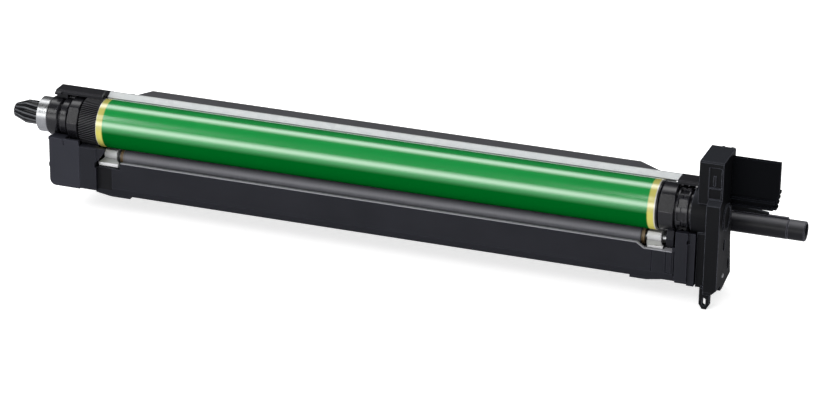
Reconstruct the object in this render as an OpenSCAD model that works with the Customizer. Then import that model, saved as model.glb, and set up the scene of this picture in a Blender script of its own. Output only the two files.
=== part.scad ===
// Printer drum unit: photoconductor drum, charge roller and blade cleaner in one frame.
// X runs along the drum from the drive end, Y to the rear, Z up.
// The origin is the centre of the drive end's ball bearing, on the drum's axis.

/* [Drum] */
// Outer diameter of the drum tube
drum_d = 30; // [29:0.5:31]
// Wall of the drum tube
drum_wall = 0.8; // [0.6:0.1:1.2]
// Length of the drum tube
drum_len = 356.5; // [300:0.5:400]
// Depth of each flange's plug in the tube
plug_len = 9; // [6:1:14]

/* [Drive end] */
// Outer diameter of the ball bearing
bearing_d = 22; // [20:1:24]
// Bore of the ball bearing, and diameter of the drive shaft
shaft_d = 8; // [6:0.5:9]
// Width of the ball bearing
bearing_w = 7; // [6:0.5:8]
// Number of balls
ball_count = 7; // [6:1:8]
// Diameter of each ball
ball_d = 3.97; // [3:0.01:4.2]
// Outer diameter of the spline
spline_d = 14.7; // [12:0.1:16]
// Diameter of the spline's nose
spline_nose_d = 8.6; // [7:0.1:10]
// Length of the spline
spline_len = 18.4; // [14:0.1:22]
// Length of the spline's tapered nose
spline_nose_len = 8; // [5:0.5:11]
// Number of spline teeth
spline_teeth = 14; // [10:1:16]
// Depth of the spline's grooves
spline_depth = 1.1; // [0.6:0.1:1.4]
// Turn of the spline's teeth over their length, in degrees
spline_twist = 22; // [0:1:40]
// Teeth of the drum gear
gear_teeth = 58; // [56:1:60]
// Tooth size of the gear train
gear_module = 0.5; // [0.48:0.01:0.51]
// Face width of the drum gear
gear_w = 11.3; // [9:0.1:13]
// Helix angle of the drum gear at its pitch circle
gear_helix = 24; // [0:1:30]

/* [Collars] */
// Width of the left collar's outer ring
left_ring_w = 7.7; // [6:0.1:9]
// Diameter of the left collar's outer ring
left_ring_d = 24.5; // [23:0.1:26]
// Width of the left collar's middle ring
left_mid_w = 4.6; // [4:0.1:6]
// Diameter of the left collar's middle ring
left_mid_d = 24; // [23:0.1:26]
// Width of the left collar's seat
left_seat_w = 7; // [6:0.1:9]
// Diameter of the left collar's seat
left_seat_d = 27.6; // [26:0.1:29]
// Width of the right collar's seat
right_seat_w = 9.3; // [8:0.1:11]
// Diameter of the right collar's seat
right_seat_d = 29; // [27:0.1:30]
// Width of the right collar's ring with windows
right_ring_w = 7.8; // [6:0.1:9]
// Diameter of the right collar's ring with windows
right_ring_d = 27; // [25:0.1:28]
// Groove between two rings of a collar
ring_gap = 1.2; // [0.8:0.1:2]
// Depth of those grooves
ring_gap_depth = 1.6; // [0.8:0.1:2]
// Gap between a collar and the turning flange
face_gap = 1.6; // [1:0.1:2.5]

/* [Charge roller] */
// Outer diameter of the charge roller
roller_d = 12; // [10:0.5:13]
// How much shorter than the drum tube the roller's rubber sleeve is
roller_short = 24; // [23:0.5:60]
// Diameter of the roller's steel shaft
roller_shaft_d = 6; // [5:0.5:7]
// Length of shaft beyond the sleeve at the support end
roller_stub = 15; // [13:0.5:15.5]
// Angle of the roller behind the drum's lowest point
roller_lean = 2; // [0:0.5:4]
// Gap between roller and drum at rest
nip_gap = 0.15; // [0.1:0.01:0.3]
// Travel of the roller away from the drum
roller_travel = 1.2; // [0.8:0.1:1.5]
// Diameter of the foam cleaning roller
foam_d = 7; // [6:0.5:8]
// Diameter of the cleaning roller's shaft
foam_shaft_d = 4; // [3:0.5:4.5]
// Width of a white bearing block
block_w = 8.4; // [7:0.1:8.6]
// Wire of the springs under the blocks
spring_wire = 0.6; // [0.4:0.1:0.8]
// Outer diameter of those springs
spring_d = 5.6; // [5:0.1:6.5]

/* [Frame] */
// Front wall's outer face, ahead of the drum's axis
front_y = 16; // [15:0.5:18]
// Depth of the frame behind the drum's axis
rear_y = 30; // [28:0.5:34]
// Top edge of the front wall, below the drum's axis
front_top = 19.5; // [18:0.5:21]
// Underside of the frame, below the drum's axis
frame_bottom = 41.6; // [40:0.2:44]
// Wall thickness of the frame
frame_wall = 2.2; // [1.8:0.1:2.6]
// Height of the slanted foot of the front wall
foot_rise = 5.4; // [4:0.2:7]
// Depth of that slant
foot_run = 3; // [2:0.2:4]
// Drop of the pads under the frame's ends
pad_drop = 1.6; // [0.8:0.1:2]
// Width of the left end cover
left_cover_w = 20.2; // [18:0.2:22]
// How far the end covers stand ahead of the front wall
cover_step = 2; // [1:0.2:3]

/* [Waste toner] */
// Auger's axis behind the drum's axis
auger_y = 24; // [23:0.1:24.5]
// Auger's axis below the drum's axis
auger_drop = 14; // [13:0.1:15]
// Outer diameter of the auger
auger_d = 9.6; // [8:0.1:10]
// Length of one turn of the auger
auger_pitch = 20; // [16:1:24]
// Outer diameter of the outlet tube
tube_d = 12.2; // [11.5:0.1:12.6]
// Wall of the outlet tube
tube_wall = 1.1; // [0.8:0.1:1.2]
// Length of tube beyond the end cover's outer face
tube_out = 42; // [30:0.5:60]
// Wall of the waste housing
housing_wall = 1.6; // [1.2:0.1:2]
// How far the blade holder's sheet reaches past the drum tube at the drive end
sheet_before = 2.3; // [1:0.1:2.4]
// How far it reaches past the drum tube at the other end
sheet_after = 8.7; // [7:0.1:9]
// Thickness of the blade holder's sheet
sheet_t = 1; // [0.8:0.1:1.2]

/* [End cover] */
// Thickness of the end cover's lower plate
cover_t = 8.2; // [7:0.1:10]
// Width of the end cover's upper part
cover_top_w = 14.5; // [12:0.1:17]
// Top of the end cover, above the drum's axis
cover_top = 36.5; // [32:0.5:42]
// Bottom of the end cover, below the drum's axis
cover_bottom = 45.5; // [44.5:0.5:48]
// Height of the lugs under the end cover
lug_h = 10.3; // [6:0.1:12]
// Width of the grip
grip_w = 28.6; // [20:0.2:34]
// Height of the grip
grip_h = 32; // [26:0.5:33]
// Thickness of the grip's plate
grip_t = 2.6; // [2:0.1:3.5]

/* [Hidden] */
$fn = 64;
fit = 0.05;        // radial clearance of a turning fit
seat_gap = 0.02;   // radial clearance of a pressed or seated round part
slip = 0.3;        // clearance between parts that move past each other
edge = 0.8;        // usual edge chamfer of the mouldings

drum_r = drum_d / 2;
bore_r = drum_r - drum_wall;
roller_r = roller_d / 2;

// Stations along X, from the drive bearing to the outlet tube
x_bearing = bearing_w / 2;
x_spline = -x_bearing - spline_len;
x_ring = x_bearing + 0.2;
x_mid = x_ring + left_ring_w + ring_gap;
x_seat = x_mid + left_mid_w + ring_gap;
x_seat_end = x_seat + left_seat_w;
x_gear = x_seat_end + face_gap;
x_drum = x_gear + gear_w + 0.4;
x_drum_end = x_drum + drum_len;
x_rseat = x_drum_end + face_gap;
x_rring = x_rseat + right_seat_w + 0.7;
x_rring_end = x_rring + right_ring_w;
x_boss = x_rring_end + 1.8;
x_cover = x_boss + 10.5;
x_side = x_cover + cover_t;
x_tube_end = x_side + tube_out;
x_left_cover = x_seat - 9.9;
x_panel = x_left_cover + left_cover_w;
x_centre = (x_drum + x_drum_end) / 2;
x_wall_end = x_drum_end - 7;

// Charge roller and cleaning roller
nip_r = drum_r + nip_gap + roller_r;
roller_y = nip_r * sin(roller_lean);
roller_z = -nip_r * cos(roller_lean);
foam_gap = roller_r + foam_d / 2 + 0.1;
foam_y = roller_y + foam_gap * sin(8);
foam_z = roller_z - foam_gap * cos(8);
roller_len = drum_len - roller_short;
x_roller = x_centre + 1.7 - roller_len / 2;
x_roller_end = x_roller + roller_len;
block_gap = 4;      // from the sleeve to each bearing block
left_stub = block_gap + block_w + 0.4;
x_block = x_roller - block_gap - block_w;
x_rblock = x_roller_end + block_gap;
floor_z = -frame_bottom + frame_wall;
block_low = roller_z - 5.6;
block_foot_z = foam_z - foam_shaft_d / 2 - 1.4;

// Gear train at the drive end
pitch_drum = gear_module * gear_teeth / 2;
idler_teeth = 20;
auger_teeth = 24;
pitch_idler = gear_module * idler_teeth / 2;
pitch_auger = gear_module * auger_teeth / 2;
play = 0.12;       // extra centre distance of each gear pair
small_gear_w = gear_w - 3;
auger_z = -auger_drop;
auger_dist = sqrt(auger_y * auger_y + auger_z * auger_z);
auger_dir = atan2(auger_z, auger_y);
reach_a = pitch_drum + pitch_idler + play;
reach_b = pitch_idler + pitch_auger + play;
idler_turn = acos((reach_a * reach_a + auger_dist * auger_dist - reach_b * reach_b)
    / (2 * reach_a * auger_dist));
idler_dir = auger_dir - idler_turn;
idler_y = reach_a * cos(idler_dir);
idler_z = reach_a * sin(idler_dir);
mesh_dir = atan2(auger_z - idler_z, auger_y - idler_y);
gear_twist = gear_w * tan(gear_helix) / pitch_drum * 180 / PI;

// Waste housing and blade
tube_r = tube_d / 2;
trough_r = auger_d / 2 + 0.7;
housing_top = 10.6;
housing_front = 14;
lip_drop = 8;       // lower lip of the housing's mouth, below the drum's axis
housing_rear = auger_y + trough_r + housing_wall;
x_housing = x_gear + gear_w + 1.2;
x_housing_end = x_rseat - 1.2;
blade_angle = 30;
blade_front_y = 9.3;
blade_front_z = 12.95;
blade_len = 4.7;    // slanted lip of the sheet
cover_y = blade_front_y + blade_len * cos(blade_angle);
cover_z = blade_front_z + blade_len * sin(blade_angle);
cover_plate_t = 1.1;
x_sheet = x_drum - sheet_before;
x_sheet_end = x_drum_end + sheet_after;
sheet_foot = housing_top + seat_gap;
sheet_rear = cover_y + 8.6;

// End cover
cover_front = front_y + cover_step;
upper_front = 13.7;
cover_rear = 13;
cover_wall = 2.2;
shoulder_z = 12;
hub_r = 8.2;        // round hub on the outer face
hub_out = 1;
hub_y = -2.6;
hub_z = -0.6;
grip_y = 6;

black = [0.13, 0.13, 0.15];
soft_black = [0.2, 0.2, 0.23];
steel = [0.72, 0.73, 0.75];

// Extrudes a shape drawn in Y and Z along X, from one station to another
module along_x(from, to) {
    translate([from, 0, 0])
        rotate([90, 0, 90])
            linear_extrude(to - from)
                children();
}

// A round bar along X about the drum's axis
module rod_x(from, to, r) {
    along_x(from, to) circle(r);
}

// A ring along X about the drum's axis
module ring_x(from, to, r_out, r_in) {
    along_x(from, to)
        difference() {
            circle(r_out);
            circle(r_in);
        }
}

// A disc with a chamfered rim on both faces, turned about the drum's axis
module chamfered_disc(from, to, r, c) {
    translate([from, 0, 0])
        rotate([0, 90, 0])
            rotate_extrude($fn = 96)
                polygon([[0, 0], [r - c, 0], [r, c], [r, to - from - c],
                    [r - c, to - from], [0, to - from]]);
}

// Half of a tooth's angle at a radius, from the involute of its base circle
function involute(a) = tan(a) * 180 / PI - a;
function half_tooth(n, m, r, thin) =
    let (rp = m * n / 2, rb = rp * cos(20), a = r > rb ? acos(rb / r) : 0)
    90 / n - thin / rp * 90 / PI + involute(20) - involute(a);

// Outline of a gear with involute flanks, with a tooth centred on the first axis
module gear_outline(n, m, thin = 0.1) {
    rp = m * n / 2;
    rb = rp * cos(20);
    root = rp - 1.2 * m;
    tip = rp + 0.85 * m;
    flank = root < rb ? [root, rb + 0.01, rp, tip] : [root, rp, tip];
    count = len(flank);
    polygon([for (tooth = [0 : n - 1], side = [-1, 1], step = [0 : count - 1])
        let (r = side < 0 ? flank[step] : flank[count - 1 - step],
            a = tooth * 360 / n + side * half_tooth(n, m, r, thin))
        [r * cos(a), r * sin(a)]]);
}

// A helical gear along X; hand is 1 or -1
module helical_gear(from, width, n, twist, hand, start) {
    translate([from, 0, 0])
        rotate([90, 0, 90])
            linear_extrude(width, twist = twist * hand, slices = 3)
                rotate(start) gear_outline(n, gear_module);
}

module drum_tube() {
    color([0, 0.57, 0.25])
        ring_x(x_drum, x_drum_end, drum_r, bore_r);
}

// Flange with the drum's helical gear, its journal and the plug that is pressed in the tube
module drive_flange() {
    color(black) {
        difference() {
            union() {
                helical_gear(x_gear, gear_w, gear_teeth, gear_twist, 1, 90);
                rod_x(x_gear + gear_w, x_drum, drum_r - 0.6);
                ring_x(x_drum, x_drum + plug_len, bore_r - seat_gap, bore_r - 2.4);
                rod_x(x_seat, x_gear, 8);
            }
            rod_x(x_seat - 1, x_drum + plug_len + 1, shaft_d / 2 + seat_gap);
        }
    }
}

// Plug and bush of the drum's other end
module support_flange() {
    color(black)
        difference() {
            union() {
                rod_x(x_drum_end, x_drum_end + 1, drum_r - 0.5);
                rod_x(x_drum_end - plug_len, x_drum_end, bore_r - seat_gap);
                rod_x(x_drum_end, x_rseat + right_seat_w, 8);
            }
            rod_x(x_drum_end - plug_len - 1, x_rseat + right_seat_w + 1, shaft_d / 2 + fit);
            ring_x(x_drum_end - plug_len - 1, x_drum_end - 3, bore_r - 2.4, 8);
        }
}

// Steel shaft from the spline, through the bearing, to the drive flange
module drive_shaft() {
    color(steel)
        chamfered_disc(x_spline + spline_bore + 0.1, x_drum + plug_len, shaft_d / 2, 0.4);
}

// Helical spline with a tapered nose: rings of teeth, each turned a little, then two rings
// for the blind bore that takes the drive shaft
module spline_coupling() {
    corners = 4 * spline_teeth;
    rings = len(spline_rings);
    points = [for (ring = spline_rings, tooth = [0 : spline_teeth - 1], corner = [0 : 3])
        let (a = (tooth + spline_share[corner]) * 360 / spline_teeth
                + spline_twist * ring[0] / spline_len,
            q = corner < 2 ? ring[1] : ring[2])
        [x_spline + ring[0], q * cos(a), q * sin(a)]];
    sides = [for (k = [0 : rings - 2], c = [0 : corners - 1])
        let (n = (c + 1) % corners)
        [k * corners + c, k * corners + n, (k + 1) * corners + n, (k + 1) * corners + c]];
    ends = [[for (c = [corners - 1 : -1 : 0]) c],
        [for (c = [0 : corners - 1]) (rings - 1) * corners + c]];
    color([0.3, 0.3, 0.33])
        polyhedron(points, concat(sides, ends));
}
// Share of a tooth's pitch at its four corners, and each ring's place, tip and root
spline_share = [0, 0.28, 0.5, 0.78];
spline_bore = 4;
bore_ring_r = (shaft_d / 2 + seat_gap) / cos(180 * 0.28 / spline_teeth);
spline_rings = [[0, spline_nose_d / 2, spline_nose_d / 2 - 0.3],
    [spline_nose_len, spline_d / 2, spline_d / 2 - spline_depth],
    [(spline_nose_len + spline_len) / 2, spline_d / 2, spline_d / 2 - spline_depth],
    [spline_len, spline_d / 2, spline_d / 2 - spline_depth],
    [spline_len, bore_ring_r, bore_ring_r],
    [spline_bore, bore_ring_r, bore_ring_r]];

// Ball bearing: half section of a ring with its ball groove
race_r = (bearing_d + shaft_d) / 4;
groove_r = ball_d / 2 + 0.03;
cage_back = x_bearing - 1;
cage_front = 1.5;
module race(r_in, r_out, c) {
    w = bearing_w;
    rotate([0, 90, 0])
        rotate_extrude($fn = 96)
            difference() {
                translate([0, -w / 2])
                    polygon([[r_in + c[0], 0], [r_out - c[1], 0], [r_out, c[1]], [r_out, w - c[1]],
                        [r_out - c[1], w], [r_in + c[0], w], [r_in, w - c[0]], [r_in, c[0]]]);
                translate([race_r, 0]) circle(groove_r);
            }
}

module bearing_outer_ring() {
    color(steel)
        race(race_r + ball_d * 0.3, bearing_d / 2, [0.15, 0.3]);
}

module bearing_inner_ring() {
    color(steel)
        race(shaft_d / 2 + seat_gap, race_r - ball_d * 0.3, [0.3, 0.15]);
}

module bearing_balls() {
    color(steel)
        for (k = [0 : ball_count - 1])
            rotate([k * 360 / ball_count, 0, 0])
                translate([0, race_r, 0])
                    sphere(ball_d / 2, $fn = 32);
}

// Snap cage: a ring with a round pocket for each ball
module bearing_cage() {
    color([0.75, 0.7, 0.55])
        difference() {
            ring_x(-cage_back, cage_front, race_r + 0.7, race_r - 0.7);
            for (k = [0 : ball_count - 1])
                rotate([k * 360 / ball_count, 0, 0])
                    translate([0, race_r, 0])
                        rotate([-90, 0, 0])
                            cylinder(h = 6, r = ball_d / 2 + 0.08, center = true);
        }
}

module bearing_shields() {
    color([0.62, 0.63, 0.66])
        for (side = [-1, 1])
            ring_x(side * (x_bearing - 0.75) - 0.15, side * (x_bearing - 0.75) + 0.15,
                race_r + ball_d * 0.3 - 0.01, race_r - ball_d * 0.3 + 0.15);
}

// Stepped collar that carries the drive end's journal, with a flat facet on its seat
module left_collar() {
    color(black)
        difference() {
            union() {
                chamfered_disc(x_ring, x_ring + left_ring_w, left_ring_d / 2, edge);
                rod_x(x_ring + 1, x_seat, left_mid_d / 2 - ring_gap_depth);
                chamfered_disc(x_mid, x_mid + left_mid_w, left_mid_d / 2, 0.5);
                chamfered_disc(x_seat, x_seat_end, left_seat_d / 2, 0.5);
            }
            rod_x(x_ring - 1, x_seat, shaft_d / 2 + 0.6);
            rod_x(x_seat - 0.4, x_seat_end + 1, 8 + fit);
            rotate([62, 0, 0])
                translate([x_seat - 0.01, -drum_r, left_seat_d / 2 - 0.9])
                    cube([left_seat_w + 0.02, drum_d, 4]);
        }
}

// Right collar: seat with a facet, then a grooved ring with windows
module right_collar() {
    ring_r = right_ring_d / 2;
    color(black)
        difference() {
            union() {
                chamfered_disc(x_rseat, x_rseat + right_seat_w, right_seat_d / 2, 0.6);
                rod_x(x_rseat + 1, x_boss, ring_r - ring_gap_depth);
                chamfered_disc(x_rring, x_rring_end, ring_r, 0.5);
            }
            rod_x(x_rseat - 1, x_rseat + right_seat_w + 0.4, 8 + fit);
            rod_x(x_rseat, x_boss + 1, shaft_d / 2 + seat_gap);
            rotate([62, 0, 0])
                translate([x_rseat - 0.01, -drum_r, right_seat_d / 2 - 1])
                    cube([right_seat_w + 0.02, drum_d, 4]);
            ring_x(x_rring + right_ring_w / 2 - 0.5, x_rring + right_ring_w / 2 + 0.5,
                ring_r + 1, ring_r - 0.7);
            for (a = [20 : 36 : 128])
                rotate([a, 0, 0])
                    translate([x_rring + 1.2, -2.6, ring_r - 1.4])
                        cube([right_ring_w - 2.4, 5.2, 4]);
        }
}

// Pin on which the support flange turns, seated in the collar and the end cover
module support_shaft() {
    color(steel)
        chamfered_disc(x_drum_end - plug_len + 1, x_cover + 2, shaft_d / 2, 0.4);
}

// Bridge over a collar: a plate above it, a web behind it and a flange screwed to the frame
module holder_cap(from, to, front, screws) {
    color(black)
        difference() {
            along_x(from, to)
                polygon([[front, hood_low], [front, hood_top - 0.7], [front + 0.7, hood_top],
                    [web_rear - 0.6, hood_top], [web_rear, hood_top - 0.6], [web_rear, seat_top + 2],
                    [cap_rear, seat_top + 2], [cap_rear, seat_top + seat_gap],
                    [web_rear + 1.8, seat_top + seat_gap], [web_rear - 2.6, hood_low - 1.5],
                    [web_rear - 3.6, hood_low]]);
            children();
            for (x = screws)
                translate([x, cap_screw_y, cap_screw_low]) cylinder(h = 12, r = cap_screw_r + 0.25);
        }
}

module left_holder_cap() {
    x_hood = x_ring + 2.8;
    x_hood_end = x_gear + gear_w - 0.6;
    holder_cap(x_hood, x_hood_end, -2, cap_screw_x[0])
        union() {
            rod_x(x_ring, x_seat_end + 0.4, left_seat_d / 2 + slip);
            rod_x(x_seat_end, x_drum, drum_r + slip);
            // slanted end of the hood
            translate([x_hood_end, -2, seat_top]) rotate([0, 0, 13]) cube([6, 12, 9]);
            // the foot stops short of the sheet
            translate([x_sheet - slip, web_rear + 0.05, seat_top - 1]) cube([sheet_before + 3, cap_rear, 4]);
        }
    color(black) {
        along_x(x_hood, x_hood + 4)
            polygon([[-1.9, hood_low], [-3.6, hood_low - 0.5], [-3.6, hood_low + 0.9], [-1.9, hood_top - 0.7]]);
        // web behind the collar's two rings
        along_x(x_hood, x_seat - 0.4)
            difference() {
                polygon([[3.4, hood_low + 0.4], [web_rear - 0.6, hood_low + 0.4], [web_rear, 12.6],
                    [web_rear, 8.4], [3.4, 8.4]]);
                circle(left_ring_d / 2 + slip);
            }
        along_x(x_hood, x_mid + 1.2)
            difference() {
                polygon([[-0.6, hood_low + 0.1], [4, hood_low + 0.1], [4, 11], [-0.6, 11]]);
                circle(left_ring_d / 2 + slip);
            }
    }
}

module right_holder_cap() {
    holder_cap(x_rseat + 8.4, x_boss + 4, -2.8, cap_screw_x[1])
        rod_x(x_rseat, x_boss + 5, right_seat_d / 2 + slip);
}

seat_top = 11.2;
seat_max_r = max(left_seat_d, right_seat_d) / 2;
hood_low = seat_max_r + 1.2;
hood_top = hood_low + 2.3;
cap_screw_y = seat_max_r - 0.9;
cap_rear = cap_screw_y + 6;
web_rear = seat_max_r - 5.7;
cap_screw_r = 1.25;
cap_screw_x = [[x_seat + 3.5], [x_rseat + 10.2]];
// Lowest point of these screws, just above the collar they pass behind
cap_screw_low = sqrt(pow(seat_max_r + slip, 2) - pow(cap_screw_y - cap_screw_r, 2)) + 0.1;

// Section of the frame's trough, drawn in Y and Z
module trough_section() {
    t = frame_wall;
    b = -frame_bottom;
    polygon([[-front_y, -front_top], [-front_y, b + foot_rise], [-front_y + foot_run, b],
        [rear_y, b], [rear_y, -22], [rear_y - t, -22], [rear_y - t, b + t],
        [-front_y + foot_run + t * 0.6, b + t], [-front_y + t, b + foot_rise + t * 0.3],
        [-front_y + t, -front_top - 0.5], [-front_y + t - 0.5, -front_top]]);
}

// End wall of the frame: seats a collar from below and behind
module end_wall(from, to, seat_r, wall_front, front_z, low_z) {
    along_x(from, to)
        difference() {
            polygon([[wall_front, low_z], [end_rear, low_z], [end_rear, rear_top], [cap_rear + 1, seat_top],
                [9, seat_top], [9, 0], [-6, -5], [-10.5, front_z], [wall_front, front_z]]);
            circle(seat_r);
        }
}

end_rear = rear_y + 3;
rear_top = 6.6;     // keeps the rear corner below the sheet's line
left_floor = -36.6;
x_right_wall = x_rseat + 4.9;
ledge_rear = -10;
notch_left_z = -23.4;
notch_right_z = -22.6;
x_notch_right = x_drum_end - 5.5;
x_notch_end = x_rring + 0.4;

module main_frame() {
    color(soft_black)
        difference() {
            union() {
                along_x(x_drum - 1, x_rring_end + 0.4) trough_section();
                end_wall(x_seat, x_seat_end, left_seat_d / 2 + seat_gap, -front_y + 0.2, -12.5, left_floor);
                end_wall(x_right_wall, x_rseat + right_seat_w, right_seat_d / 2 + seat_gap,
                    ledge_rear, -17, -frame_bottom);
                along_x(x_seat_end - 0.01, x_panel + 0.2) gear_block_section(-front_y + 0.2, left_floor);
                along_x(x_panel + 0.2, x_drum) gear_block_section(-front_y + foot_run, -panel_low - 0.9);
                frame_panel();
                frame_pads();
                right_block();
                translate([x_right_wall - 0.6, -front_y, notch_right_z - 6])
                    cube([x_notch_end - x_right_wall + 1, front_y + ledge_rear + 0.2, 6]);
                roller_guides();
            }
            gear_pocket();
            front_recess();
            wall_notches();
            shaft_holes();
            for (x = concat(cap_screw_x[0], cap_screw_x[1]))
                translate([x, cap_screw_y, cap_screw_low - 0.1])
                    cylinder(h = 12, r = cap_screw_r + seat_gap);
            // room under both ends of the sheet
            translate([x_sheet - slip, 9, sheet_foot - 0.2]) cube([sheet_before + slip + 1, sheet_rear - 8, 9]);
            translate([x_right_wall - 1, 9, sheet_foot - 0.2])
                cube([x_sheet_end + slip - x_right_wall + 1, sheet_rear - 8, 9]);
        }
}

// Notches in the front wall's top for the feet of the bearing blocks
module wall_notches() {
    translate([x_drum + 0.2, -front_y - 1, notch_left_z]) cube([16.2, frame_wall + 1.5, 6]);
    translate([0, -front_y + frame_wall + 0.5, 0])
        rotate([90, 0, 0])
            linear_extrude(frame_wall + 1.5)
                polygon([[x_notch_right - 4.3, -front_top + 0.1], [x_notch_right - 4.3, -front_top],
                    [x_notch_right, notch_right_z], [x_notch_end, notch_right_z],
                    [x_notch_end, -front_top + 0.1]]);
}

// Section of the block behind the drum gear
module gear_block_section(front, low) {
    difference() {
        polygon([[front, -13.2], [front, low], [end_rear, low], [end_rear, rear_top],
            [cap_rear + 1, seat_top], [13.4, seat_top], [13.4, -8], [4, -20], [-6, -17.4], [-9, -13.2]]);
        circle(drum_r + 1.2);
    }
}

// Front panel between the left end cover and the front wall, with a slanted upper right end
panel_low = 38.9;
module frame_panel() {
    h = panel_low;
    along_x(x_panel + 0.2, x_drum + 1.2)
        polygon([[-cover_front, -11.3], [-cover_front + 0.6, -10.7], [-front_y + 3.2, -10.7],
            [-front_y + 3.2, -h], [-cover_front + 1, -h], [-cover_front, -h + 1.4]]);
    translate([x_drum + 1, -cover_front + 3, 0])
        rotate([90, 0, 0])
            linear_extrude(2.4)
                polygon([[0, -19.4], [0, -10.7], [6.3, -10.7], [5.6, -12.9], [1.4, -18.6], [0.4, -19.4]]);
}

// Pads under both ends, each with a slanted lead
module frame_pads() {
    b = -frame_bottom;
    for (pad = [[x_drum, x_drum + 9, x_drum + 21.6], [x_wall_end + 12, x_wall_end + 3, x_wall_end - 7]])
        translate([0, -front_y + foot_run, 0])
            rotate([-90, 0, 0])
                linear_extrude(16)
                    polygon([[pad[0], -b - 0.5], [pad[0], -b + 0.2], [pad[1], -b + pad_drop],
                        [pad[2], -b + pad_drop], [pad[2], -b - 0.5]]);
}

// Pale strip on the front wall's top edge, down the slope at its right end and over the ledge there
module wall_strip() {
    t = 0.5;
    low = -front_top + 0.03;
    notch = notch_right_z + 0.03;
    slope = x_notch_right - 4.3;
    start = x_drum + 16.8;
    color([0.7, 0.71, 0.73])
        union() {
            translate([0, -front_y + frame_wall - 0.1, 0])
                rotate([90, 0, 0])
                    linear_extrude(frame_wall - 0.3)
                        polygon([[start, low], [slope, low], [x_notch_right, notch],
                            [x_notch_end - slip, notch], [x_notch_end - slip, notch + t],
                            [x_notch_right + 0.2, notch + t], [slope + 0.2, low + t], [start, low + t]]);
            translate([x_right_wall - 0.4, -front_y + frame_wall - 0.2, notch])
                cube([x_notch_end - slip - x_right_wall + 0.4, front_y + ledge_rear - frame_wall - 0.1, t]);
        }
}

// Block and ribs at the right end of the front wall
x_block_end = x_rring_end + 1.6;
module right_block() {
    h = frame_bottom;
    along_x(x_rring + 2, x_block_end)
        difference() {
            polygon([[-front_y, -9.2], [-front_y, -h + 1.9], [-front_y + 2, -h - 0.4],
                [14, -h - 0.4], [14, -15.6], [-8, -12.4], [-12.4, -9.2]]);
            circle(right_ring_d / 2 + slip);
        }
    along_x(x_block_end - 0.2, x_boss + 4)
        difference() {
            polygon([[-front_y + 1.6, -9.6], [-front_y + 1.6, -h - 1], [14, -h - 1], [14, -15.6],
                [-8, -13], [-12, -9.6]]);
            circle(drum_r - 0.5 + slip);
        }
}

// Upright guides beside each white bearing block
module roller_guides() {
    front_guide = block_low - roller_travel - slip;
    for (x = [x_block, x_rblock], guide = [[-4.9, front_guide], [6.9, notch_left_z]])
        translate([x + 0.6, guide[0], floor_z - 0.5])
            cube([block_w - 1.2, 2.4, guide[1] - floor_z + 0.5]);
}

// Room for the gear train inside the frame's left end
module gear_pocket() {
    along_x(x_gear - face_gap - 0.01, x_gear + gear_w + 0.2)
        union() {
            translate([auger_y, auger_z]) circle(pitch_auger + 1.2);
            translate([idler_y, idler_z]) circle(pitch_idler + 1.2);
            circle(drum_r + 1.2);
        }
}

// Recesses in the front: pocket at the left, seams and a groove at the right
module front_recess() {
    translate([x_drum + 1.2, -front_y - 0.01, -38]) cube([9.8, 0.9, 14.5]);
    translate([x_drum + 0.2, -cover_front - 0.01, -23.6]) cube([1.6, 4.4, 3.9]);
    translate([x_rseat - 2.2, -front_y - 0.01, -36]) cube([0.5, 0.6, 16]);
    translate([x_rring - 3.6, -front_y - 0.01, -36])
        difference() {
            cube([4.8, 0.6, 14.2]);
            translate([0.6, -0.1, 0.6]) cube([3, 1, 13]);
        }
    translate([x_block_end - 8.2, -front_y - 0.01, -38.4]) cube([0.8, 1.4, 17]);
    translate([x_block_end - 0.6, -front_y - 0.01, -16]) cube([1.8, 2.4, 2.4]);
}

// Holes for the auger's journal and pin at the left, the outlet tube at the right,
// and the notches that clear the charge roller's ends
module shaft_holes() {
    translate([0, auger_y, auger_z]) {
        rod_x(x_seat - 1, x_drum + 2, 2.5 + fit);
        rod_x(x_right_wall - 1, x_rring_end + 2, tube_r + seat_gap);
    }
    translate([0, idler_y, idler_z])
        rod_x(x_seat_end - 4, x_gear, 2 + seat_gap);
    translate([x_drum - 5, -front_y + 1, foam_z - 0.4]) cube([6, 22, 12.5]);
}

// Moulded shell that closes the drive end's lower corner
module left_end_cover() {
    r = 4;
    top = -7.6;
    b = -39;
    color([0.26, 0.26, 0.3])
        difference() {
            union() {
                translate([x_left_cover, 0, 0])
                    rotate([90, 0, 0])
                        translate([0, 0, -rear_y])
                            linear_extrude(cover_front + rear_y)
                                polygon(concat([[0, top], [0, b + r]],
                                    [for (a = [180 : 15 : 270]) [r + r * cos(a), b + r + r * sin(a)]],
                                    [[left_cover_w, b], [left_cover_w, top - 2.6],
                                        [left_cover_w - 0.6, top]]));
                translate([x_left_cover - 0.7, -cover_front + 0.6, top - 1.8]) cube([1.4, 4, 1.8]);
                translate([x_left_cover - 0.7, -cover_front + 0.6, -27]) cube([1.4, 4, 2.4]);
            }
            translate([x_left_cover + 2, -cover_front + 2, b + 2])
                cube([left_cover_w, cover_front + rear_y, -b - 2 + top - 2]);
            translate([x_left_cover + left_cover_w - 10.4, -front_y, top - 5])
                cube([12, front_y + rear_y + 1, 10]);
            translate([x_left_cover - 1, 0, top - 6])
                cube([left_cover_w + 2, rear_y + 1, 20]);
            rod_x(x_left_cover - 1, x_panel + 1, left_ring_d / 2 + slip);
            translate([x_left_cover + 9.4, -cover_front - 1, top - 4.2]) cube([0.5, 2, 5]);
        }
}

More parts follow.
